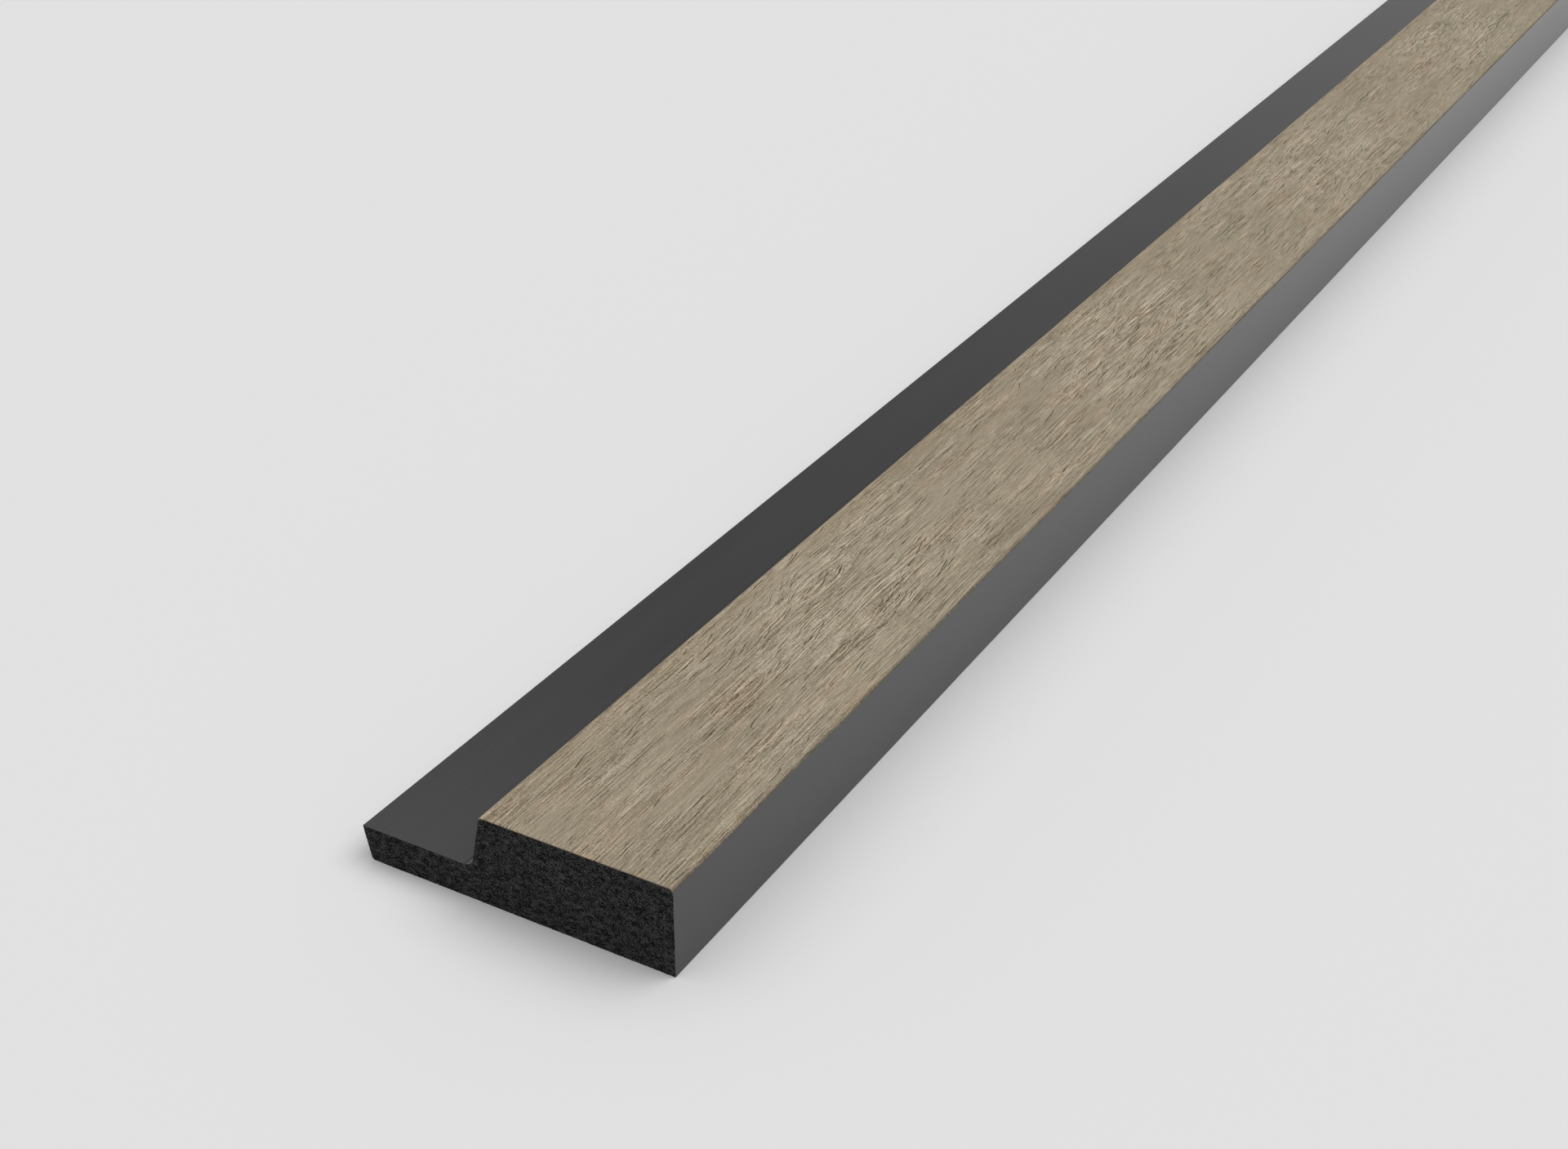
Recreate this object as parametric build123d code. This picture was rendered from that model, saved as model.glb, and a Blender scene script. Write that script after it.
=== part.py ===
"""End trim for a slatted wall panel: one slat with a thin tongue beside it, sold by the length.

The trim lies on its back. X runs across it, with the tongue on -X and the outer side on +X.
Y runs along it, and Z points from the wall towards the room.
The origin is the middle of the back, so z = 0 is the face that is glued to the wall.
All lengths are in millimetres and angles in degrees.
"""

import os
from math import radians, tan

from build123d import *

# Driving sizes
length = 2650.0  # stock length
thickness = 12.0  # back to the face of the film, the thickness of the panels beside it
slat_face_width = 25.3  # across the slat's face, to where the sharp arrises would be
tongue_reach = 15.6  # tongue tip to the foot of the slat's flank, along the tongue's face
tongue_thickness = 4.5
flank_draft = 11.5  # slope of a slat's flank, from square to the wall
root_radius = 1.5  # fillet where the tongue runs into the slat's flank
toe_radius = 0.5  # rounding under the tongue's edge, which leaves room for glue at the wall
arris_radius = 0.35  # rounding of the slat's two front edges, under the film
film_thickness = 0.15  # printed film on the slat's face

# Sizes that follow
draft_slope = tan(radians(flank_draft))
flank_run = (thickness - tongue_thickness) * draft_slope  # how far the flank leans across
tongue_undercut = tongue_thickness * draft_slope  # the edge nests on the next slat's flank
overall_width = tongue_reach + flank_run + slat_face_width
face_radius = arris_radius + film_thickness  # rounding of the front edges, over the film

# Corners of the section before rounding: across the trim, and up from its back
tip_x = -overall_width / 2
side_x = overall_width / 2
foot_x = tip_x + tongue_reach
toe = (tip_x + tongue_undercut, 0)
heel = (side_x, 0)
outer_arris = (side_x, thickness)
inner_arris = (foot_x + flank_run, thickness)
root = (foot_x, tongue_thickness)
tip = (tip_x, tongue_thickness)


def outline_section() -> Sketch:
    """The trim's whole section, film included: heel and tip stay sharp, the other corners are round."""
    section = make_face(Polyline(toe, heel, outer_arris, inner_arris, root, tip, close=True))
    roundings = {
        toe: toe_radius,
        outer_arris: face_radius,
        inner_arris: face_radius,
        root: root_radius,
    }
    for corner, radius in roundings.items():
        section = fillet(section.vertices().sort_by_distance(corner)[0], radius)
    return section


def film_section(outline: Sketch) -> Sketch:
    """The film's section: a band just inside the outline, along the slat's face and round both arrises.

    The outline runs counter-clockwise, so the band lies on its left.
    """
    face_line = outline.edges().filter_by(Axis.X).sort_by(Axis.Y)[-1]
    arrises = outline.edges().filter_by(GeomType.CIRCLE).sort_by(Axis.Y)[-2:]
    band = offset(Wire([face_line, *arrises]), film_thickness, side=Side.LEFT)
    return make_face(band.edges())


def full_length(section: Sketch) -> Part:
    """A section of the trim, stood up across its length and extruded both ways from the middle."""
    return extrude(Plane.XZ * section, length / 2, both=True)


outline = outline_section()
film = film_section(outline)
pieces = {
    "trim_profile": full_length(outline - film),
    "decor_film": full_length(film),
}

os.makedirs("parts", exist_ok=True)
for node, piece in pieces.items():
    piece.label = node
    export_step(piece, f"parts/{node}.step")
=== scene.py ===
"""Looks of the end trim of a slatted wall panel: sawn foam profile, printed oak film, pale studio.

Lengths are metres in the part's own frame. X runs across the trim, with the tongue on -X, Y runs along
it, and Z points from the wall towards the room. The origin is the middle of the back.
"""

import logging
import math
from collections.abc import Callable
from dataclasses import dataclass
from enum import Enum

import bmesh
import bpy
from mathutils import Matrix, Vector


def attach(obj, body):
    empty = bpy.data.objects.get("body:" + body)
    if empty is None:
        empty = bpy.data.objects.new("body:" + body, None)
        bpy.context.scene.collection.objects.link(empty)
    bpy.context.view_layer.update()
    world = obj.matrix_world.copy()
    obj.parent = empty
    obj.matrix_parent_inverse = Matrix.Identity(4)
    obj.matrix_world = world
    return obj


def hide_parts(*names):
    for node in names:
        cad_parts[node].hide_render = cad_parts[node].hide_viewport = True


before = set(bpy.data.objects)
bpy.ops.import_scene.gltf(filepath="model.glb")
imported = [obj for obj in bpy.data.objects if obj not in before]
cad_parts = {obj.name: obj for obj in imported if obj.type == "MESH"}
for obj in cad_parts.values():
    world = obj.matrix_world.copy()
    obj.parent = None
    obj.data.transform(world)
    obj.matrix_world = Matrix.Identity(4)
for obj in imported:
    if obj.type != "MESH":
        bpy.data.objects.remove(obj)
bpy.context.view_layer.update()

LOG = logging.getLogger("end_trim")
MM = 0.001
BAKE_MAP = "OFBake"
MOSTLY = 0.9  # the least part of a direction that counts as running or facing that way
CLOSE = 0.01 * MM
MIDDLE = 0.5  # of a range from 0 to 1
SCREEN_WHITE = 255
SCREEN_LIFT, SCREEN_POWER = 0.055, 2.4  # the curve of a screen
MIX_UNDER, MIX_OVER, MIX_RESULT = 6, 7, 2  # the colour sockets of a Mix node

Socket = bpy.types.NodeSocket
Piece = bpy.types.Object
Source = Socket | float
Test = Callable[[Vector, Vector], bool]
MapSpot = Callable[[Vector, Vector, Vector], tuple[float, float]]
Colour = tuple[float, float, float]
Place = tuple[float, float, float]


class Slot(Enum):
    """The record's material slots."""

    FOAM = "dark_foam"
    FILM = "wood_film"


class Element(Enum):
    """What a selection in edit mode takes."""

    EDGE = "EDGE"
    FACE = "FACE"


class End(Enum):
    """The trim's two sawn ends, by the way they face along Y."""

    NEAR = -1
    FAR = 1


def let_go() -> None:
    """Leave edit mode and deselect everything, the CAD nodes included."""
    if bpy.context.mode != "OBJECT":
        bpy.ops.object.mode_set(mode="OBJECT")
    bpy.ops.object.select_all(action="DESELECT")


def take(piece: Piece) -> None:
    """Make a piece the only selected object and the active one.

    Args:
        piece: the object to take.
    """
    let_go()
    piece.select_set(True)
    bpy.context.view_layer.objects.active = piece


def pick(piece: Piece, element: Element, accepts: Test) -> None:
    """Select, in edit mode, the edges or faces that pass a test.

    Args:
        piece: the object in edit mode.
        element: whether edges or faces are tested.
        accepts: gets the middle, and a face's normal or the way an edge runs.
    """
    bpy.ops.mesh.select_mode(type=element.value)
    bpy.ops.mesh.select_all(action="DESELECT")
    form = bmesh.from_edit_mesh(piece.data)
    if element is Element.FACE:
        chosen = [face for face in form.faces if accepts(face.calc_center_median(), face.normal)]
    else:
        chosen = []
        for edge in form.edges:
            start, stop = (vertex.co for vertex in edge.verts)
            if accepts((start + stop) / 2, (stop - start).normalized()):
                chosen.append(edge)
    for item in chosen:
        item.select_set(True)
    form.select_flush_mode()
    bmesh.update_edit_mesh(piece.data)


def runs_along(x: float, z: float) -> Test:
    """Make a test for edges that run along the trim through a point of its section.

    Args:
        x: the point's place across the trim.
        z: its height above the back.

    Returns:
        The test, for pick.
    """

    def accepts(middle: Vector, way: Vector) -> bool:
        """Accept an edge along Y within a hundredth of a millimetre of the point."""
        return abs(way.y) > MOSTLY and math.hypot(middle.x - x, middle.z - z) < CLOSE

    return accepts


def finish_with(piece: Piece, kind: str, **settings: object) -> None:
    """Give a piece a modifier and apply it.

    Args:
        piece: the object to change.
        kind: the modifier's type.
        settings: the modifier's properties by name.
    """
    take(piece)
    modifier = piece.modifiers.new(kind.lower(), kind)
    for name, value in settings.items():
        setattr(modifier, name, value)
    bpy.ops.object.modifier_apply(modifier=modifier.name)


@dataclass(frozen=True)
class Section:
    """The trim's section and length, as in the part's source."""

    length: float = 2650 * MM
    thickness: float = 12 * MM
    slat_face_width: float = 25.3 * MM
    tongue_reach: float = 15.6 * MM
    tongue_thickness: float = 4.5 * MM
    flank_draft: float = math.radians(11.5)
    root_radius: float = 1.5 * MM
    toe_radius: float = 0.5 * MM
    face_radius: float = 0.5 * MM
    film_thickness: float = 0.15 * MM
    root_steps: int = 10
    arris_steps: int = 6
    flat_angle: float = math.radians(0.5)

    @property
    def half_length(self) -> float:
        """Distance from the middle to a sawn end."""
        return self.length / 2

    @property
    def flank_run(self) -> float:
        """How far the slat's flank leans across, from its foot to the face."""
        return (self.thickness - self.tongue_thickness) * math.tan(self.flank_draft)

    @property
    def tongue_undercut(self) -> float:
        """How far the tongue's edge leans in under its tip."""
        return self.tongue_thickness * math.tan(self.flank_draft)

    @property
    def side_x(self) -> float:
        """Place of the outer side, which is also half the overall width."""
        return (self.tongue_reach + self.flank_run + self.slat_face_width) / 2

    @property
    def foot_x(self) -> float:
        """Place of the flank's foot on the tongue, before rounding."""
        return self.tongue_reach - self.side_x

    @property
    def arris_x(self) -> float:
        """Place of the face's inner arris, before rounding."""
        return self.foot_x + self.flank_run

    @property
    def face_middle(self) -> float:
        """Place of the middle of the slat's face."""
        return (self.arris_x + self.side_x) / 2

    @property
    def film_edge_z(self) -> float:
        """Height at which the film ends on the outer side."""
        return self.thickness - self.face_radius

    @property
    def blunt(self) -> float:
        """Radius of a rounding over its reach along a face, where two faces meet at the draft past square."""
        return math.tan((math.pi / 2 + self.flank_draft) / 2)

    def part_along(self, y: float) -> float:
        """Give a place along the trim as a part of its length, from 0 at the near end."""
        return MIDDLE + y / self.length

    def under_film(self, middle: Vector, normal: Vector) -> bool:
        """Tell whether a face of the outline lies on the slat's face or its arrises."""
        return middle.z > self.film_edge_z and abs(normal.y) < MOSTLY

    def outline_block(self, overrun: float) -> Piece:
        """Model the whole outline, film included, as one bar with its corners rounded.

        Args:
            overrun: how far the bar is too long at each end.

        Returns:
            The bar, active and in edit mode.
        """
        let_go()
        slat = (self.side_x - self.foot_x, self.length + 2 * overrun, self.thickness)
        middle = ((self.side_x + self.foot_x) / 2, 0, self.thickness / 2)
        bpy.ops.mesh.primitive_cube_add(size=1, calc_uvs=False, location=middle, scale=slat)
        bar = bpy.context.object
        bpy.ops.object.transform_apply(location=True, rotation=True, scale=True)
        bpy.ops.object.mode_set(mode="EDIT")
        bpy.ops.mesh.select_all(action="SELECT")
        bpy.ops.mesh.bisect(plane_co=(0, 0, self.tongue_thickness), plane_no=(0, 0, 1))
        pick(bar, Element.FACE, lambda place, normal: normal.x < -MOSTLY and place.z < self.tongue_thickness)
        bpy.ops.mesh.extrude_region_move(TRANSFORM_OT_translate={"value": (-self.tongue_reach, 0, 0)})
        pick(bar, Element.EDGE, runs_along(self.foot_x, self.thickness))
        bpy.ops.transform.translate(value=(self.flank_run, 0, 0))
        pick(bar, Element.EDGE, runs_along(-self.side_x, 0))
        bpy.ops.transform.translate(value=(self.tongue_undercut, 0, 0))
        roundings = (
            (self.foot_x, self.tongue_thickness, self.root_radius / self.blunt, self.root_steps),
            (self.tongue_undercut - self.side_x, 0, self.toe_radius / self.blunt, self.arris_steps),
            (self.arris_x, self.thickness, self.face_radius / self.blunt, self.arris_steps),
            (self.side_x, self.thickness, self.face_radius, self.arris_steps),
        )
        for x, z, reach, steps in roundings:
            pick(bar, Element.EDGE, runs_along(x, z))
            bpy.ops.mesh.bevel(offset_type="OFFSET", offset=reach, segments=steps, affect="EDGES")
        bpy.ops.mesh.select_all(action="SELECT")
        bpy.ops.mesh.dissolve_limited(angle_limit=self.flat_angle)
        return bar


class Bench:
    """A node tree, with short ways to add and join its nodes."""

    def __init__(self, owner: bpy.types.Material | bpy.types.World) -> None:
        """Start on the plain nodes of a material or a world."""
        owner.use_nodes = True
        self.tree = owner.node_tree

    @property
    def shader(self) -> bpy.types.Node:
        """The Principled shader of a material."""
        return self.tree.nodes["Principled BSDF"]

    def feed(self, socket: Socket, source: Source) -> None:
        """Link a socket to another, or set it to a number.

        Args:
            socket: the input to feed.
            source: an output, or the number.
        """
        if isinstance(source, Socket):
            self.tree.links.new(source, socket)
        else:
            socket.default_value = source

    def node(self, kind: str, **settings: object) -> bpy.types.Node:
        """Add a node.

        Args:
            kind: the node's type, without its ShaderNode prefix.
            settings: the node's properties by name.

        Returns:
            The node.
        """
        made = self.tree.nodes.new("ShaderNode" + kind)
        for name, value in settings.items():
            setattr(made, name, value)
        return made

    def fill(self, made: bpy.types.Node, *sources: Source) -> Socket:
        """Feed the first inputs of a node, in their order.

        Args:
            made: the node.
            sources: what feeds its inputs.

        Returns:
            The node's first output.
        """
        for socket, source in zip(made.inputs, sources, strict=False):
            self.feed(socket, source)
        return made.outputs[0]

    def maths(self, operation: str, *terms: Source, clamp: bool = False) -> Socket:
        """Add a Math node on up to three terms and give its result."""
        return self.fill(self.node("Math", operation=operation, use_clamp=clamp), *terms)

    def join(self, operation: str, *terms: Source) -> Socket:
        """Join terms two at a time.

        Args:
            operation: the Math operation that joins two of them.
            terms: two terms or more.

        Returns:
            The result.
        """
        result = terms[0]
        for term in terms[1:]:
            result = self.maths(operation, result, term)
        return result

    def total(self, *terms: Source) -> Socket:
        """Add up two or more terms."""
        return self.join("ADD", *terms)

    def share(self, term: Source, factor: Source) -> Socket:
        """Multiply two terms."""
        return self.maths("MULTIPLY", term, factor)

    def most(self, *terms: Source) -> Socket:
        """Take the largest of two or more terms."""
        return self.join("MAXIMUM", *terms)

    def line(self, term: Source, slope: Source, start: Source, clamp: bool = False) -> Socket:
        """Multiply a term and add a start."""
        return self.maths("MULTIPLY_ADD", term, slope, start, clamp=clamp)

    def step(self, value: Source, low: Source, high: Source) -> Socket:
        """Rise smoothly from 0 at low to 1 at high, or fall where low is the larger."""
        return self.fill(self.node("MapRange", interpolation_type="SMOOTHSTEP"), value, low, high)

    def parts(self, kind: str, source: Socket) -> tuple[Socket, ...]:
        """Split a vector or a colour.

        Args:
            kind: the node that splits it.
            source: the vector or colour.

        Returns:
            Its three numbers, one socket each.
        """
        made = self.node(kind)
        self.fill(made, source)
        return tuple(made.outputs)

    def place(self, start: Place) -> tuple[Socket, ...]:
        """Give the place on the piece in millimetres.

        Args:
            start: where the count starts, in metres.

        Returns:
            Its X, Y and Z, one socket each.
        """
        mapping = self.node("Mapping")
        mapping.inputs["Scale"].default_value = (1 / MM,) * 3
        mapping.inputs["Location"].default_value = [-way / MM for way in start]
        self.feed(mapping.inputs["Vector"], self.node("TexCoord").outputs["Object"])
        return self.parts("SeparateXYZ", mapping.outputs[0])

    def vector(self, *terms: Source) -> Socket:
        """Join up to three numbers into a vector."""
        return self.fill(self.node("CombineXYZ"), *terms)

    def noise(self, *terms: Source, detail: float, rough: float) -> Socket:
        """Add a noise.

        Args:
            terms: two or three numbers, over about one unit of which it changes.
            detail: how many finer octaves it has.
            rough: the strength of each octave next to the one before.

        Returns:
            The noise, with a mean of 0.
        """
        made = self.node("TexNoise", noise_dimensions="2D" if len(terms) == 2 else "3D")
        self.feed(made.inputs["Vector"], self.vector(*terms))
        made.inputs["Scale"].default_value = 1
        made.inputs["Detail"].default_value = detail
        made.inputs["Roughness"].default_value = rough
        return self.maths("SUBTRACT", made.outputs["Fac"], MIDDLE)

    def ramp(self, value: Source, stops: tuple[tuple[float, Colour], ...]) -> Socket:
        """Turn a number into a colour.

        Args:
            value: the number.
            stops: places from 0 to 1 with their colours, in rising order.

        Returns:
            The colour.
        """
        made = self.node("ValToRGB")
        scale = made.color_ramp.elements
        while len(scale) < len(stops):
            scale.new(MIDDLE)
        for element, (where, colour) in zip(scale, stops, strict=True):
            element.position = where
            element.color = (*colour, 1)
        self.feed(made.inputs[0], value)
        return made.outputs["Color"]

    def blend(self, share: Source, under: Socket, over: Colour, way: str) -> Socket:
        """Lay an even colour over another.

        Args:
            share: how much of it shows, from 0 to 1.
            under: the colour below.
            over: the even colour.
            way: the blend type, such as MIX or MULTIPLY.

        Returns:
            The colour that shows.
        """
        made = self.node("Mix", data_type="RGBA", blend_type=way)
        self.feed(made.inputs["Factor"], share)
        self.feed(made.inputs[MIX_UNDER], under)
        made.inputs[MIX_OVER].default_value = (*over, 1)
        return made.outputs[MIX_RESULT]

    def emboss(self, height: Source, depth: float, strength: float) -> None:
        """Bump the shader.

        Args:
            height: the relief, from 0 to 1.
            depth: what a height of 1 stands for, in metres.
            strength: how much of it shows.
        """
        bump = self.node("Bump")
        bump.inputs["Strength"].default_value = strength
        bump.inputs["Distance"].default_value = depth
        self.feed(bump.inputs["Height"], height)
        self.feed(self.shader.inputs["Normal"], bump.outputs["Normal"])


def grey(level: float) -> Colour:
    """Give an even grey."""
    return (level, level, level)


def screen(red: int, green: int, blue: int) -> Colour:
    """Turn a colour as a screen shows it, from 0 to 255, into the linear one that shaders take."""
    lifted = [level / SCREEN_WHITE + SCREEN_LIFT for level in (red, green, blue)]
    return tuple((level / (1 + SCREEN_LIFT)) ** SCREEN_POWER for level in lifted)


@dataclass(frozen=True)
class Grain:
    """One layer of grain: a noise whose largest waves have a size across and one along, in millimetres."""

    across: float
    along: float
    octaves: float
    rough: float
    shift: float = 0.0

    def draw(self, bench: Bench, x: Source, y: Source, z: Source | None = None) -> Socket:
        """Draw the layer.

        Args:
            bench: the material's nodes.
            x: place across the grain.
            y: place along the grain.
            z: the other place across it, where the grain goes round the piece.

        Returns:
            The layer, with a mean of 0.
        """
        spot = [bench.line(x, 1 / self.across, self.shift), bench.line(y, 1 / self.along, self.shift)]
        if z is not None:
            spot.append(bench.line(z, 1 / self.across, self.shift))
        return bench.noise(*spot, detail=self.octaves, rough=self.rough)


@dataclass(frozen=True)
class Cracks:
    """Short cracks along the grain, one to each cell of an uneven grid. Millimetres."""

    cell: tuple[float, float]
    half_length: float
    half_width: float
    lean_spread: float
    shift: float
    shortest: float = 0.3
    soft_edge: float = 0.6
    # where the painted highlight beside each crack lies, in the crack's half widths
    painted_rim_offset: float = 2.0
    faint_share: float = 0.5

    def draw(
        self, bench: Bench, x: Source, y: Source, lean: Source, density: Source
    ) -> tuple[Socket, Socket]:
        """Draw the cracks.

        Args:
            bench: the material's nodes.
            x: place across the grain.
            y: place along the grain.
            lean: how far across the cracks run for each length along.
            density: the share of cells that hold a crack.

        Returns:
            The cracks and the painted highlights beside them, pale rims on one side, each from 0 to 1.
        """
        across, along = self.cell
        spot = bench.vector(bench.line(x, 1 / across, self.shift), bench.line(y, 1 / along, self.shift))
        cells = bench.node("TexVoronoi", voronoi_dimensions="2D", feature="F1")
        cells.inputs["Scale"].default_value = 1
        bench.feed(cells.inputs["Vector"], spot)
        offset = bench.node("VectorMath", operation="SUBTRACT")
        aside, ahead, _ = bench.parts("SeparateXYZ", bench.fill(offset, spot, cells.outputs["Position"]))
        own_turn, own_size, own_chance = bench.parts("SeparateColor", cells.outputs["Color"])
        lengthwise = bench.share(ahead, along)
        own_lean = bench.line(own_turn, 2 * self.lean_spread, -self.lean_spread)
        drift = bench.share(lengthwise, bench.maths("ADD", lean, own_lean))
        sideways = bench.maths("SUBTRACT", bench.share(aside, across), drift)
        least = self.shortest * self.half_length
        reach = bench.line(own_size, self.half_length - least, least)
        part = bench.maths("DIVIDE", lengthwise, reach)
        width = bench.line(bench.share(part, part), -self.half_width, self.half_width)
        present = bench.step(own_chance, density, bench.share(density, self.faint_share))
        within = bench.maths("SUBTRACT", width, bench.maths("ABSOLUTE", sideways))
        crack = bench.step(within, 0.0, self.soft_edge * self.half_width)
        # painted highlight: a pale line on one side of each crack, as light catching an embossed rim
        beside = bench.maths("ABSOLUTE", bench.maths("ADD", sideways, self.painted_rim_offset * self.half_width))
        painted_rim = bench.step(bench.maths("SUBTRACT", width, beside), 0.0, self.half_width)
        return bench.share(crack, present), bench.share(painted_rim, present)


class PrintBed:
    """The nodes of the film's material, and the place on the film in millimetres."""

    def __init__(self, section: Section) -> None:
        """Start the material, with the count along the trim from its near end.

        Args:
            section: the trim's sizes.
        """
        self.material = bpy.data.materials.new("oak_print")
        bench = Bench(self.material)
        self.bench = bench
        self.x, self.y, self.z = bench.place((0, -section.half_length, 0))
        self.drop = bench.maths("SUBTRACT", section.thickness / MM, self.z)
        outwards = bench.maths("SIGN", bench.maths("SUBTRACT", self.x, section.face_middle / MM))
        self.across = bench.line(outwards, self.drop, self.x)


@dataclass(frozen=True)
class Zones:
    """Where the print changes its character, each from 0 to 1."""

    burst: Socket
    patch: Socket
    spots: Socket
    contrast: Socket
    warmth: Socket


@dataclass(frozen=True)
class OakPrint:
    """Printed film in grey-beige brushed oak, matt, with bursts of short cracks that come back along it.

    Lengths are millimetres, across from the trim's middle and along from its near end. Shares are parts of
    the scale of tones, or of 1.
    """

    section: Section

    # The layers of grain, broad ones first, and the cracks.
    clouds: Grain = Grain(3.6, 30.0, 2, 0.5, 7.3)
    calm: Grain = Grain(5.0, 17.0, 1, 0.5, 19.9)
    leaning: Grain = Grain(5.0, 22.0, 1, 0.5, 37.1)
    clusters: Grain = Grain(2.4, 9.0, 1, 0.5, 41.9)
    warm_spots: Grain = Grain(2.6, 20.0, 2, 0.6, 53.3)
    ragged: Grain = Grain(0.45, 3.0, 2, 0.6, 23.5)
    fibres: Grain = Grain(0.34, 4.0, 3, 0.95, 3.1)
    lines: Grain = Grain(0.17, 18.0, 2, 0.8, 11.7)
    specks: Grain = Grain(0.17, 0.40, 1, 0.5, 31.3)
    long_cracks: Cracks = Cracks((0.62, 8.5), 5.2, 0.08, 0.04, 17.0)
    short_cracks: Cracks = Cracks((0.50, 5.0), 3.0, 0.07, 0.06, 29.0)
    pores: Cracks = Cracks((0.6, 3.4), 1.9, 0.08, 0.05, 43.0)

    # Each repeat has a burst of cracks, which starts, is full, fades and is gone, with a warm patch in it.
    repeat: float = 97.5
    burst_along: tuple[float, float, float, float] = (27.3, 48.8, 73.1, 92.6)
    burst_middle: float = 8.5
    burst_half: tuple[float, float] = (7.5, 12.5)
    patch_middle: tuple[float, float] = (8.3, 35.1)
    patch_half: tuple[float, float] = (2.4, 5.7)
    patch_fade: tuple[float, float] = (0.4, 1.3)
    inner_stripe: tuple[float, float] = (-3.0, -0.6)
    spot_levels: tuple[float, float] = (0.03, 0.16)

    # How strongly the fine grain shows.
    even_contrast: float = 0.78
    calm_contrast: float = 1.6
    burst_contrast: float = 0.38
    warm_contrast: float = 0.25
    least_contrast: float = 0.35

    # How the grain swings round the clouds, and how the cracks lean and crowd.
    even_swing: float = 0.8
    burst_swing: float = 1.2
    crack_swing: float = 0.5
    ragged_swing: float = 0.20
    lean: float = -0.09
    lean_swing: float = 0.9
    pore_lean: float = -0.02
    cluster_levels: tuple[float, float] = (-0.09, 0.08)
    even_density: float = 0.2
    burst_density: float = 1.45
    long_density: float = 0.65
    short_density: float = 0.60
    pore_density: float = 0.5
    whole_crack: float = 0.9
    broken_crack: float = 2.4

    # What each layer adds to the tone.
    middle_tone: float = 0.52
    fibre_share: float = 0.92
    line_share: float = 1.00
    speck_share: float = 0.42
    cloud_share: float = 0.18
    spot_share: float = 0.03
    burst_share: float = 0.045
    # painted highlight: how much the pale rims beside the cracks lighten the print
    painted_rim_share: float = 0.17
    crack_share: float = 0.58
    pore_share: float = 0.34
    stripe_warmth: float = 0.6
    spot_warmth: float = 0.8
    tones: tuple[tuple[float, Colour], ...] = (
        (0.0, screen(58, 47, 31)),
        (0.25, screen(103, 92, 72)),
        (0.5, screen(149, 138, 117)),
        (0.75, screen(182, 170, 149)),
        (1.0, screen(207, 195, 174)),
    )
    warm: Colour = (1.03, 0.969, 0.94)

    # Painted shade: the film is darkened raggedly round the arrises, where they turn from the light, down to
    # its edge, where the print itself is darker too.
    # edge: the colour of the painted arris shade and of the print's darker edge
    edge: Colour = screen(84, 76, 62)
    edge_and_shade_share: float = 0.88
    edge_and_shade_power: float = 0.75
    edge_and_shade_swing: float = 1.3
    wisps: Grain = Grain(0.3, 1.5, 1, 0.5)

    # The surface, which is smoother and higher where the print is pale.
    roughness: float = 0.8
    roughness_swing: float = -0.2
    sheen: float = 0.2
    relief: float = 0.05 * MM
    relief_strength: float = 0.5

    def zones(self, bed: PrintBed) -> Zones:
        """Lay out the bursts, the warm places and the calm ones.

        Args:
            bed: the film's nodes and place.

        Returns:
            The zones.
        """
        bench = bed.bench
        turn = bench.share(bench.maths("FRACT", bench.maths("DIVIDE", bed.y, self.repeat)), self.repeat)
        starts, full, fades, gone = self.burst_along
        burst = bench.share(bench.step(turn, starts, full), bench.step(turn, gone, fades))
        core, reach = self.burst_half
        aside = bench.maths("ABSOLUTE", bench.maths("SUBTRACT", bed.x, self.burst_middle))
        burst = bench.share(burst, bench.step(aside, reach, core))
        squares = []
        for spot, centre, half in zip((bed.x, turn), self.patch_middle, self.patch_half, strict=True):
            squares.append(bench.maths("POWER", bench.line(spot, 1 / half, -centre / half), 2.0))
        whole, none = self.patch_fade
        patch = bench.step(bench.total(*squares), none, whole)
        spots = bench.step(self.warm_spots.draw(bench, bed.across, bed.y), *self.spot_levels)
        contrast = bench.total(
            self.even_contrast,
            bench.share(self.calm.draw(bench, bed.x, bed.y), self.calm_contrast),
            bench.share(burst, self.burst_contrast),
            bench.share(bench.most(patch, spots), self.warm_contrast),
        )
        stripe, grain = self.inner_stripe
        inner = bench.share(bench.step(bed.x, grain, stripe), self.stripe_warmth)
        return Zones(
            burst=burst,
            patch=patch,
            spots=spots,
            contrast=bench.most(contrast, self.least_contrast),
            warmth=bench.most(inner, patch, bench.share(spots, self.spot_warmth)),
        )

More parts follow.
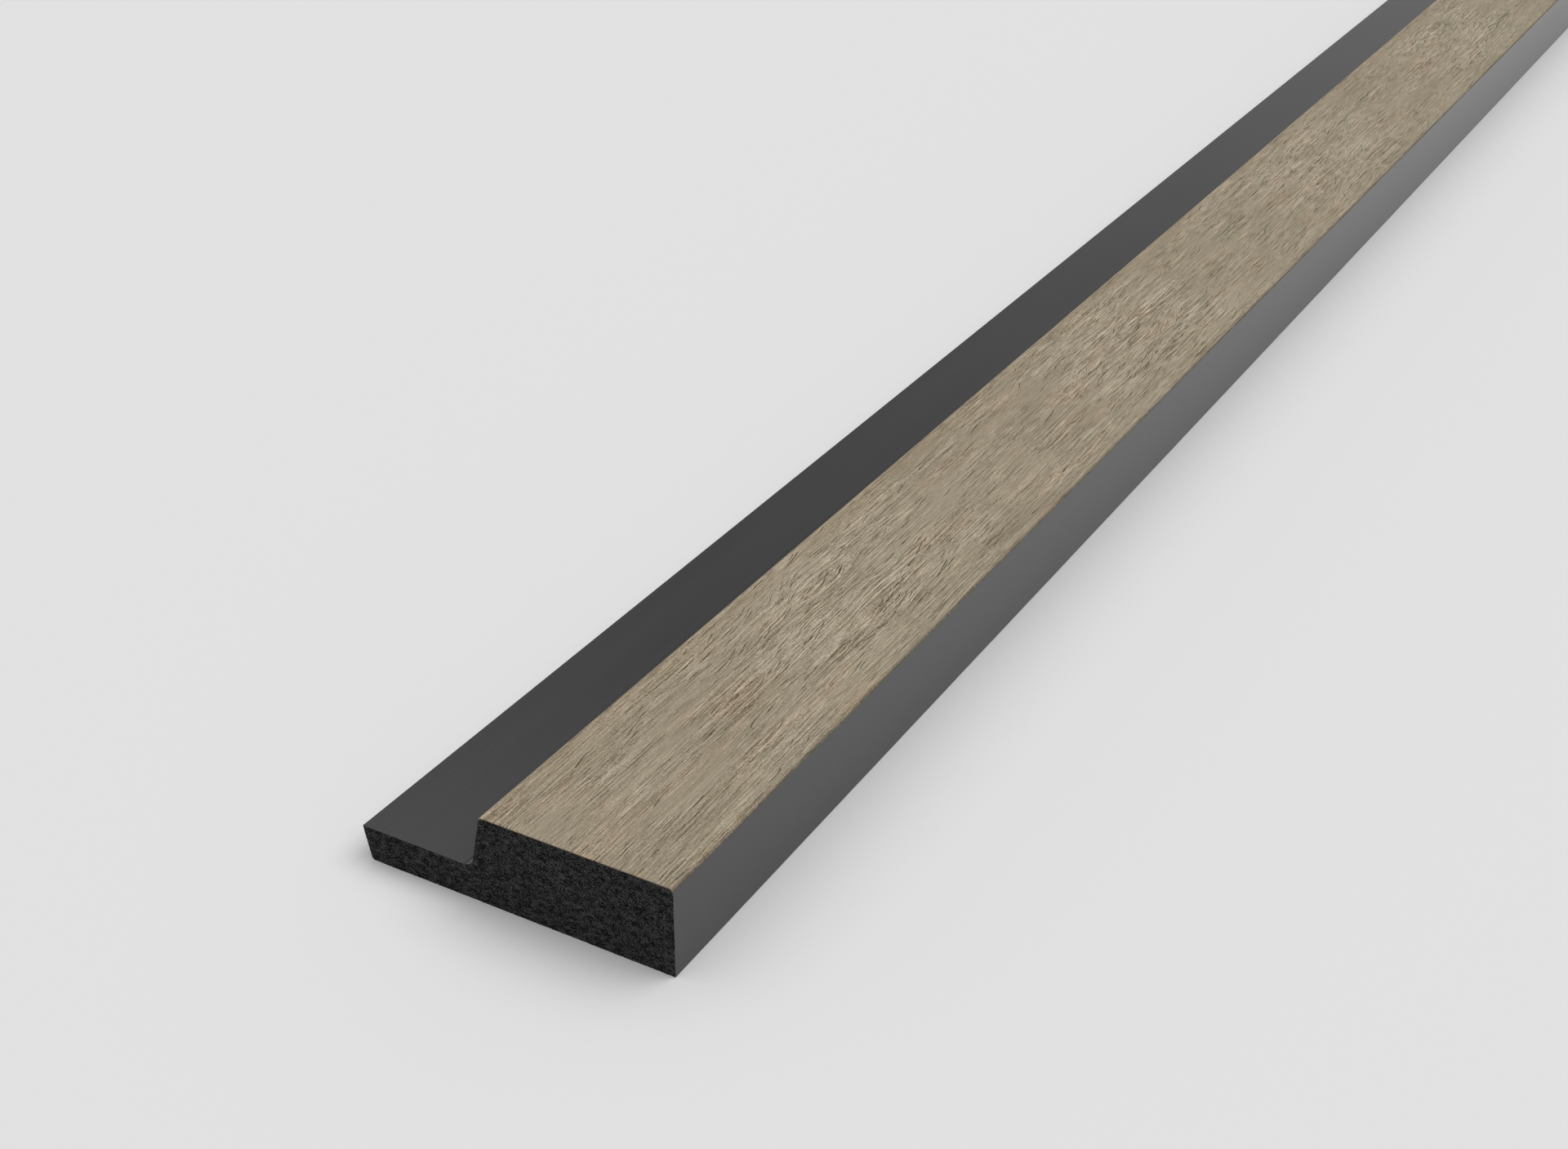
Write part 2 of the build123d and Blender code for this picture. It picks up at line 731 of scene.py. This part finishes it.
    def split_grain(
        self, bed: PrintBed, zones: Zones, clouds: Source, grain: Source
    ) -> tuple[Socket, Socket]:
        """Draw the cracks and pores.

        Args:
            bed: the film's nodes and place.
            zones: where the print changes.
            clouds: the coarsest layer.
            grain: place across the grain, swung round the clouds.

        Returns:
            The cracks and the painted highlights beside them, pale rims on one side, each from 0 to 1.
        """
        bench = bed.bench
        ragged = self.ragged.draw(bench, bed.across, bed.y)
        torn = bench.line(ragged, self.ragged_swing, bench.line(clouds, self.crack_swing, bed.across))
        lean = bench.line(self.leaning.draw(bench, bed.x, bed.y), self.lean_swing, self.lean)
        often = bench.line(bench.most(zones.burst, zones.patch), self.burst_density, self.even_density)
        crowd = bench.step(self.clusters.draw(bench, bed.x, bed.y), *self.cluster_levels)
        often = bench.share(often, crowd)
        long_crack, long_painted_rim = self.long_cracks.draw(
            bench, torn, bed.y, lean, bench.share(often, self.long_density)
        )
        short_crack, short_painted_rim = self.short_cracks.draw(
            bench, torn, bed.y, lean, bench.share(often, self.short_density)
        )
        pore, pore_painted_rim = self.pores.draw(
            bench, grain, bed.y, self.pore_lean, bench.share(zones.contrast, self.pore_density)
        )
        gaps = bench.line(ragged, self.broken_crack, self.whole_crack, clamp=True)
        crack = bench.share(bench.most(long_crack, short_crack), gaps)
        crack = bench.most(crack, bench.share(pore, self.pore_share))
        return crack, bench.most(long_painted_rim, short_painted_rim, pore_painted_rim)

    def tone(self, bed: PrintBed, zones: Zones) -> Socket:
        """Add up the layers into one tone.

        Args:
            bed: the film's nodes and place.
            zones: where the print changes.

        Returns:
            The tone, from 0 for the darkest crack to 1 for the palest fibre.
        """
        bench = bed.bench
        clouds = self.clouds.draw(bench, bed.across, bed.y)
        swing = bench.line(zones.burst, self.burst_swing, self.even_swing)
        grain = bench.line(clouds, swing, bed.across)
        fine = bench.total(
            bench.share(self.fibres.draw(bench, grain, bed.y), self.fibre_share),
            bench.share(self.lines.draw(bench, grain, bed.y), self.line_share),
            bench.share(self.specks.draw(bench, bed.across, bed.y), self.speck_share),
        )
        crack, painted_rim = self.split_grain(bed, zones, clouds, grain)
        return bench.total(
            self.middle_tone,
            bench.share(fine, zones.contrast),
            bench.share(clouds, self.cloud_share),
            # painted highlight beside the cracks, as light on their embossed rims
            bench.share(painted_rim, self.painted_rim_share),
            bench.share(crack, -self.crack_share),
            bench.share(zones.spots, self.spot_share),
            bench.share(zones.burst, self.burst_share),
        )

    def arris_shade_and_edge(self, bed: PrintBed) -> Socket:
        """Paint shade on the film round the arrises, darker down to its edge, where the print itself is
        darker too.

        Args:
            bed: the film's nodes and place.

        Returns:
            How much of the painted shade and the print's dark edge shows, from 0 to 1.
        """
        bench = bed.bench
        round_arris = bench.maths("DIVIDE", bed.drop, self.section.face_radius / MM)
        uneven = bench.line(self.wisps.draw(bench, bed.y, bed.z), self.edge_and_shade_swing, self.edge_and_shade_share)
        return bench.maths("MULTIPLY", bench.maths("POWER", round_arris, self.edge_and_shade_power), uneven, clamp=True)

    def build(self) -> bpy.types.Material:
        """Build the film's material.

        Returns:
            The material.
        """
        bed = PrintBed(self.section)
        bench = bed.bench
        zones = self.zones(bed)
        tone = self.tone(bed, zones)
        colour = bench.blend(zones.warmth, bench.ramp(tone, self.tones), self.warm, "MULTIPLY")
        # painted shade round the arrises, mixed with the print's darker edge
        colour = bench.blend(self.arris_shade_and_edge(bed), colour, self.edge, "MIX")
        bench.feed(bench.shader.inputs["Base Color"], colour)
        bench.feed(bench.shader.inputs["Roughness"], bench.line(tone, self.roughness_swing, self.roughness))
        bench.shader.inputs["Specular IOR Level"].default_value = self.sheen
        bench.emboss(tone, self.relief, self.relief_strength)
        return bed.material


@dataclass(frozen=True)
class ExtrusionSkin:
    """Satin skin of the dark foam, drawn by the die: faint lines along the length and an uneven sheen."""

    section: Section
    level: float = 0.025
    level_spread: float = 0.3
    roughness: float = 0.16
    refraction: float = 1.515
    die_lines: Grain = Grain(0.45, 260.0, 3, 0.5)
    drifts: Grain = Grain(9.0, 120.0, 2, 0.5)
    peel: Grain = Grain(0.3, 0.6, 2, 0.5)
    line_shade: float = 0.8
    drift_shade: float = 0.6
    drift_gloss: float = 0.12
    line_gloss: float = 0.05
    peel_gloss: float = 0.08
    peel_height: float = 0.5
    relief: float = 0.01 * MM
    relief_strength: float = 0.45

    def build(self) -> bpy.types.Material:
        """Build the skin's material.

        Returns:
            The material.
        """
        material = bpy.data.materials.new("extrusion_skin")
        bench = Bench(material)
        spot = bench.place((0, -self.section.half_length, 0))
        lines = self.die_lines.draw(bench, *spot)
        drifts = self.drifts.draw(bench, *spot)
        peel = self.peel.draw(bench, *spot)
        shade = bench.total(
            MIDDLE, bench.share(lines, self.line_shade), bench.share(drifts, self.drift_shade)
        )
        darkest = grey(self.level * (1 - self.level_spread))
        palest = grey(self.level * (1 + self.level_spread))
        bench.feed(bench.shader.inputs["Base Color"], bench.ramp(shade, ((0.0, darkest), (1.0, palest))))
        gloss = bench.total(
            self.roughness,
            bench.share(drifts, self.drift_gloss),
            bench.share(lines, self.line_gloss),
            bench.share(peel, self.peel_gloss),
        )
        bench.feed(bench.shader.inputs["Roughness"], gloss)
        bench.shader.inputs["IOR"].default_value = self.refraction
        bench.emboss(bench.line(peel, self.peel_height, lines), self.relief, self.relief_strength)
        return material


@dataclass(frozen=True)
class Curls:
    """Curling tears, drawn where a noise crosses its mean. Their size is millimetres."""

    size: float
    width: float
    shift: float
    core: float = 0.2
    octaves: float = 1
    rough: float = 0.6

    def draw(self, bench: Bench, x: Source, z: Source) -> Socket:
        """Draw the tears.

        Args:
            bench: the material's nodes.
            x: place across the end, in millimetres.
            z: place up the end, in millimetres.

        Returns:
            1 in a tear and 0 beside it.
        """
        spot_x = bench.line(x, 1 / self.size, self.shift)
        spot_z = bench.maths("DIVIDE", z, self.size)
        level = bench.noise(spot_x, spot_z, detail=self.octaves, rough=self.rough)
        return bench.step(bench.maths("ABSOLUTE", level), self.width, self.core * self.width)


@dataclass(frozen=True)
class SawnFoam:
    """Sawn end of the dark foam: a dull face, mottled and gritty, scored all over with curling tears.

    The saw has smeared its marks, which are finer up the end than across it by that factor.
    """

    section: Section
    depth: float
    face: Colour = grey(0.068)
    tear: Colour = grey(0.003)
    smear: float = 1.7
    mottle: Grain = Grain(1.2, 1.2, 2, 0.7)
    grit: Grain = Grain(0.17, 0.17, 1, 0.5)
    large_tears: Curls = Curls(0.58, 0.16, 0.0)
    small_tears: Curls = Curls(0.39, 0.15, 103.0)
    middle_shade: float = 1.90
    mottle_shade: float = 2.5
    grit_shade: float = 4.8
    tear_shade: float = -1.8
    # painted shade: the end is darker where the saw cut sinks deeper
    painted_pit_shade: float = -0.15
    roughness: float = 0.9
    sheen: float = 0.05
    relief: float = 0.04 * MM
    relief_strength: float = 0.5

    def build(self) -> bpy.types.Material:
        """Build the sawn end's material.

        Returns:
            The material.
        """
        material = bpy.data.materials.new("sawn_foam")
        bench = Bench(material)
        x, y, z = bench.place((0, 0, 0))
        sunk = bench.maths("SUBTRACT", self.section.half_length / MM, bench.maths("ABSOLUTE", y))
        sunk = bench.maths("DIVIDE", sunk, self.depth / MM)
        z = bench.share(z, self.smear)
        mottle = self.mottle.draw(bench, x, z)
        grit = self.grit.draw(bench, x, z)
        bent = (bench.maths("ADD", x, mottle), bench.maths("SUBTRACT", z, mottle))
        tears = bench.most(self.large_tears.draw(bench, *bent), self.small_tears.draw(bench, *bent))
        shade = bench.total(
            self.middle_shade,
            bench.share(mottle, self.mottle_shade),
            bench.share(grit, self.grit_shade),
            bench.share(tears, self.tear_shade),
            # painted shade in the deeper parts of the cut
            bench.share(sunk, self.painted_pit_shade),
        )
        bench.feed(bench.shader.inputs["Base Color"], bench.ramp(shade, ((0.0, self.tear), (1.0, self.face))))
        bench.shader.inputs["Roughness"].default_value = self.roughness
        bench.shader.inputs["Specular IOR Level"].default_value = self.sheen
        bench.emboss(shade, self.relief, self.relief_strength)
        return material


@dataclass(frozen=True)
class Island:
    """A rectangle of a piece's UV map, which holds one flat or unrolled stretch of its surface."""

    left: float
    low: float
    wide: float
    high: float
    gap: float = 0.002

    def spot(self, across: float, up: float) -> tuple[float, float]:
        """Turn a place on the stretch into a place on the map.

        Args:
            across: place along the rectangle's width, from 0 to 1.
            up: place along its height, from 0 to 1.

        Returns:
            The place on the map.
        """
        return (
            self.left + self.gap + across * (self.wide - 2 * self.gap),
            self.low + self.gap + up * (self.high - 2 * self.gap),
        )


def lay_map(piece: Piece, spot: MapSpot) -> None:
    """Give a piece the UV map that its looks are baked into.

    Args:
        piece: the finished object.
        spot: turns a corner's place, with its face's middle and normal, into a place on the map.
    """
    mesh = piece.data
    corners = mesh.uv_layers.new(name=BAKE_MAP).uv
    for face in mesh.polygons:
        for corner in face.loop_indices:
            place = mesh.vertices[mesh.loops[corner].vertex_index].co
            corners[corner].vector = spot(place, face.center, face.normal)


@dataclass
class TrimProfile:
    """The extruded foam profile: slat and tongue in one, sawn square at both ends."""

    section: Section
    overrun: float = 1 * MM
    saw_cell: float = 0.1 * MM
    saw_margin: float = 0.6 * MM
    saw_depth: float = 0.06 * MM
    end_band: float = 0.6 * MM
    sliver: float = 0.002 * MM
    torn_size: float = 0.36 * MM
    torn_twist: float = 1.6
    torn_slope: float = 0.05
    smooth_angle: float = math.radians(30)
    front_island: Island = Island(0.0, 0.0, 1.0, 0.33)
    back_island: Island = Island(0.0, 0.33, 1.0, 0.24)
    side_island: Island = Island(0.0, 0.57, 1.0, 0.14)
    flank_island: Island = Island(0.0, 0.71, 1.0, 0.14)
    near_island: Island = Island(0.0, 0.85, 0.5, 0.15)
    far_island: Island = Island(0.5, 0.85, 0.5, 0.15)

    def sawn_face(self, end: End, torn: bpy.types.Texture) -> Piece:
        """Model one saw cut as a fine grid, sunk unevenly into the foam.

        Args:
            end: which end of the trim it is.
            torn: the texture that sinks it.

        Returns:
            The cut, a little larger than the section.
        """
        wide = 2 * (self.section.side_x + self.saw_margin)
        high = self.section.thickness + 2 * self.saw_margin
        let_go()
        bpy.ops.mesh.primitive_grid_add(
            x_subdivisions=round(wide / self.saw_cell),
            y_subdivisions=round(high / self.saw_cell),
            size=1,
            calc_uvs=False,
            location=(0, end.value * self.section.half_length, self.section.thickness / 2),
            rotation=(-end.value * math.pi / 2, 0, 0),
        )
        cut = bpy.context.object
        cut.scale = (wide, high, 1)
        bpy.ops.object.transform_apply(location=True, rotation=True, scale=True)
        finish_with(
            cut, "DISPLACE", texture=torn, texture_coords="LOCAL", strength=self.saw_depth, mid_level=1.0
        )
        return cut

    def blank(self) -> Piece:
        """Model the length of stock between the two saw cuts.

        Returns:
            A closed bar with torn ends, larger than the section all round.
        """
        torn = bpy.data.textures.new("torn_foam", "DISTORTED_NOISE")
        torn.noise_scale = self.torn_size
        torn.distortion = self.torn_twist
        torn.noise_basis = "IMPROVED_PERLIN"
        torn.noise_distortion = "ORIGINAL_PERLIN"
        cuts = [self.sawn_face(end, torn) for end in End]
        let_go()
        for cut in cuts:
            cut.select_set(True)
        bpy.context.view_layer.objects.active = cuts[0]
        bpy.ops.object.join()
        bar = bpy.context.object
        bpy.ops.object.mode_set(mode="EDIT")
        bpy.ops.mesh.select_mode(type="EDGE")
        bpy.ops.mesh.select_all(action="DESELECT")
        bpy.ops.mesh.select_non_manifold()
        bpy.ops.mesh.bridge_edge_loops()
        bpy.ops.mesh.select_all(action="SELECT")
        bpy.ops.mesh.normals_make_consistent(inside=False)
        let_go()
        bpy.data.textures.remove(torn)
        return bar

    def model(self) -> Piece:
        """Model the profile: the outline sunk by the film's thickness under the film, cut between torn ends.

        Returns:
            The finished profile.
        """
        profile = self.section.outline_block(self.overrun)
        profile.name = "foam_profile"
        pick(profile, Element.FACE, self.section.under_film)
        bpy.ops.mesh.extrude_region_shrink_fatten(
            TRANSFORM_OT_shrink_fatten={"value": -self.section.film_thickness}
        )
        for end in End:
            bpy.ops.mesh.select_all(action="SELECT")
            place = end.value * (self.section.half_length - self.end_band)
            bpy.ops.mesh.bisect(plane_co=(0, place, 0), plane_no=(0, 1, 0))
        let_go()
        blank = self.blank()
        finish_with(profile, "BOOLEAN", object=blank, operation="INTERSECT", solver="MANIFOLD")
        bpy.data.objects.remove(blank)
        bpy.ops.object.mode_set(mode="EDIT")
        bpy.ops.mesh.select_all(action="SELECT")
        bpy.ops.mesh.dissolve_degenerate(threshold=self.sliver)
        let_go()
        return profile

    def dress(self, profile: Piece) -> None:
        """Give the profile its skin and its sawn ends, and smooth its roundings.

        Args:
            profile: the modelled profile.
        """
        take(profile)
        profile.data.materials.clear()
        profile.data.materials.append(ExtrusionSkin(self.section).build())
        profile.data.materials.append(SawnFoam(self.section, self.saw_depth).build())
        bpy.ops.object.shade_smooth_by_angle(angle=self.smooth_angle)
        bpy.ops.object.mode_set(mode="EDIT")
        pick(profile, Element.FACE, lambda place, normal: abs(normal.y) > self.torn_slope)
        profile.active_material_index = 1
        bpy.ops.object.material_slot_assign()
        finish_with(profile, "WEIGHTED_NORMAL", keep_sharp=True)
        lay_map(profile, self.map_spot)

    def map_spot(self, place: Vector, middle: Vector, normal: Vector) -> tuple[float, float]:
        """Lay the sawn ends out large, and the front, back, side and flank as bands along the length.

        Args:
            place: a corner of a face.
            middle: the face's middle.
            normal: the way the face points.

        Returns:
            The corner's place on the map.
        """
        along = self.section.part_along(place.y)
        across = MIDDLE + place.x / (2 * self.section.side_x)
        up = place.z / self.section.thickness
        if abs(normal.y) > self.torn_slope:
            island = self.near_island if middle.y < 0 else self.far_island
            return island.spot(across, up)
        if abs(normal.x) > abs(normal.z):
            island = self.side_island if normal.x > 0 else self.flank_island
            return island.spot(along, up)
        island = self.front_island if normal.z > 0 else self.back_island
        return island.spot(along, across)

    def build(self) -> Piece:
        """Model, dress and place the profile on its body.

        Returns:
            The finished profile.
        """
        profile = self.model()
        self.dress(profile)
        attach(profile, "root")
        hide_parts("trim_profile")
        return profile


@dataclass(frozen=True)
class Brushing:
    """One layer of brushed relief: its largest waves each way, and its share of the depth."""

    across: float
    along: float
    share: float


@dataclass
class DecorFilm:
    """The printed film on the slat's face, wrapped round its two front arrises.

    Its length is cut into rows, each row again, and on the face once more.
    """

    section: Section
    rows: tuple[int, int] = (10, 22)
    face_rows: int = 4
    face_columns: int = 100
    face_margin: float = 0.001 * MM
    relief: float = 0.05 * MM
    brushings: tuple[Brushing, ...] = (Brushing(0.9 * MM, 24 * MM, 0.6), Brushing(0.5 * MM, 9 * MM, 0.4))
    smooth_angle: float = math.radians(35)
    map_bands: int = 4
    band_high: float = 0.235
    map_spare: float = 3.0  # arris radii that the map has across, beyond the width of the face
    back_island: Island = Island(0.0, 0.94, 1.0, 0.04)
    near_island: Island = Island(0.0, 0.98, 0.5, 0.02)
    far_island: Island = Island(0.5, 0.98, 0.5, 0.02)

    @property
    def top(self) -> float:
        """Height above which a point lies on the film's face."""
        return self.section.thickness - self.face_margin

    def model(self) -> Piece:
        """Model the film: the outline's face and arrises as a thick sheet, finely divided on top.

        Returns:
            The finished film.
        """
        film = self.section.outline_block(0)
        film.name = "oak_film"
        pick(film, Element.FACE, lambda place, normal: not self.section.under_film(place, normal))
        bpy.ops.mesh.delete(type="FACE")
        bpy.ops.mesh.select_all(action="SELECT")
        bpy.ops.mesh.extrude_region_shrink_fatten(
            TRANSFORM_OT_shrink_fatten={"value": -self.section.film_thickness}
        )
        bpy.ops.mesh.select_all(action="SELECT")
        bpy.ops.mesh.normals_make_consistent(inside=False)
        for parts in self.rows:
            pick(film, Element.EDGE, lambda place, way: abs(way.y) > MOSTLY)
            bpy.ops.mesh.subdivide(number_cuts=parts - 1)
        pick(film, Element.EDGE, lambda place, way: abs(way.x) > MOSTLY and place.z > self.top)
        bpy.ops.mesh.subdivide(number_cuts=self.face_columns - 1)
        pick(film, Element.EDGE, lambda place, way: abs(way.y) > MOSTLY and place.z > self.top)
        bpy.ops.mesh.subdivide(number_cuts=self.face_rows - 1)
        let_go()
        self.brush(film)
        return film

    def brush(self, film: Piece) -> None:
        """Sink the soft stretches of the grain into the film's face.

        Args:
            film: the modelled film.
        """
        face = film.vertex_groups.new(name="face")
        low = self.section.arris_x + self.section.face_radius
        high = self.section.side_x - self.section.face_radius - CLOSE
        inside = []
        for vertex in film.data.vertices:
            if vertex.co.z > self.top and low < vertex.co.x < high:
                inside.append(vertex.index)
        face.add(inside, 1.0, "REPLACE")
        for brushing in self.brushings:
            grain = bpy.data.textures.new("grain", "CLOUDS")
            grain.noise_scale = 1
            let_go()
            bpy.ops.object.empty_add(scale=(1, 1, 1))
            stretch = bpy.context.object
            stretch.scale = (brushing.across, brushing.along, 1)
            bpy.context.view_layer.update()
            finish_with(
                film,
                "DISPLACE",
                texture=grain,
                texture_coords="OBJECT",
                texture_coords_object=stretch,
                vertex_group=face.name,
                direction="Z",
                strength=self.relief * brushing.share,
                mid_level=1.0,
            )
            bpy.data.objects.remove(stretch)
            bpy.data.textures.remove(grain)
        film.vertex_groups.clear()

    def dress(self, film: Piece) -> None:
        """Print the film and smooth its arrises.

        Args:
            film: the modelled film.
        """
        take(film)
        film.data.materials.clear()
        film.data.materials.append(OakPrint(self.section).build())
        bpy.ops.object.shade_smooth_by_angle(angle=self.smooth_angle)
        lay_map(film, self.map_spot)

    def map_spot(self, place: Vector, middle: Vector, normal: Vector) -> tuple[float, float]:
        """Lay the print out in bands, each a stretch of the length, with the film's back and ends small.

        Args:
            place: a corner of a face.
            middle: the face's middle.
            normal: the way the face points.

        Returns:
            The corner's place on the map.
        """
        section = self.section
        reach = section.side_x - section.arris_x + self.map_spare * section.face_radius
        unrolled = place.x + math.copysign(section.thickness - place.z, place.x - section.face_middle)
        across = MIDDLE + (unrolled - section.face_middle) / reach
        if abs(normal.y) > MOSTLY:
            island = self.near_island if middle.y < 0 else self.far_island
            return island.spot(across, (section.thickness - place.z) / section.face_radius)
        core = Vector((section.face_middle, middle.y, 0))
        if normal.dot(middle - core) < 0:
            return self.back_island.spot(section.part_along(place.y), across)
        band = min(int(section.part_along(middle.y) * self.map_bands), self.map_bands - 1)
        along = section.part_along(place.y) * self.map_bands - band
        return Island(0.0, band * self.band_high, 1.0, self.band_high).spot(along, across)

    def build(self) -> Piece:
        """Model, dress and place the film on its body.

        Returns:
            The finished film.
        """
        film = self.model()
        self.dress(film)
        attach(film, "root")
        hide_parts("decor_film")
        return film


@dataclass
class Studio:
    """Pale floor, a sky brightest overhead with a soft key light, and the camera off the near end."""

    section: Section
    floor_side: float = 400.0
    floor_drop: float = 0.05 * MM
    floor_colour: Colour = screen(224, 224, 224)
    sky: tuple[tuple[float, Colour], ...] = (
        (0.0, grey(0.76)),
        (0.15, grey(0.50)),
        (0.30, grey(0.40)),
        (0.53, grey(0.30)),
        (0.64, grey(1.00)),
    )
    key_energy: float = 0.85
    key_spread: float = math.radians(40)
    key_from: Place = (0.40, 0.30, 0.86)
    eye_from_end: Place = (121.82 * MM, -150.92 * MM, 154.54 * MM)
    look_down: float = math.radians(30)
    look_left: float = math.radians(30)
    lens_mm: float = 50.0
    sensor_mm: float = 36.0
    nearest: float = 1 * MM
    farthest: float = 1000.0

    def floor(self) -> None:
        """Lay the floor under the trim's back."""
        let_go()
        bpy.ops.mesh.primitive_plane_add(size=self.floor_side, location=(0, 0, -self.floor_drop))
        plane = bpy.context.object
        plane.name = "studio_floor"
        paint = bpy.data.materials.new("floor_paint")
        shader = Bench(paint).shader
        shader.inputs["Base Color"].default_value = (*self.floor_colour, 1)
        shader.inputs["Roughness"].default_value = 1.0
        shader.inputs["Specular IOR Level"].default_value = 0.0
        plane.data.materials.append(paint)

    def light(self) -> None:
        """Set a sky that is brightest overhead, and one broad soft key light."""
        sky = bpy.data.worlds.new("studio_sky")
        bpy.context.scene.world = sky
        bench = Bench(sky)
        _, _, height = bench.parts("SeparateXYZ", bench.node("TexCoord").outputs["Generated"])
        bench.feed(bench.tree.nodes["Background"].inputs["Color"], bench.ramp(height, self.sky))
        bpy.ops.object.light_add(type="SUN", location=Vector(self.key_from))
        key = bpy.context.object
        key.name = "key_light"
        key.data.energy = self.key_energy
        key.data.angle = self.key_spread
        key.rotation_euler = Vector(self.key_from).to_track_quat("Z", "Y").to_euler()

    def camera(self) -> None:
        """Stand the camera off the near end, looking down along the trim."""
        bpy.ops.object.camera_add(
            location=Vector(self.eye_from_end) - Vector((0, self.section.half_length, 0)),
            rotation=(math.pi / 2 - self.look_down, 0, self.look_left),
        )
        eye = bpy.context.object
        eye.name = "eye"
        eye.data.lens = self.lens_mm
        eye.data.sensor_width = self.sensor_mm
        eye.data.clip_start = self.nearest
        eye.data.clip_end = self.farthest
        bpy.context.scene.camera = eye

    def build(self) -> None:
        """Set up the floor, the light, the camera and plain colours."""
        self.floor()
        self.light()
        self.camera()
        bpy.context.scene.view_settings.view_transform = "Standard"


def main() -> None:
    """Build the trim's two pieces and the studio round them."""
    logging.basicConfig(level=logging.INFO, format="%(name)s: %(message)s")
    section = Section()
    for assembly in (TrimProfile(section), DecorFilm(section)):
        piece = assembly.build()
        faces = sum(len(polygon.vertices) - 2 for polygon in piece.data.polygons)
        LOG.info("%s: %d triangles", piece.name, faces)
    Studio(section).build()
    LOG.info("studio: floor, light and camera")


if __name__ == "__main__":
    main()
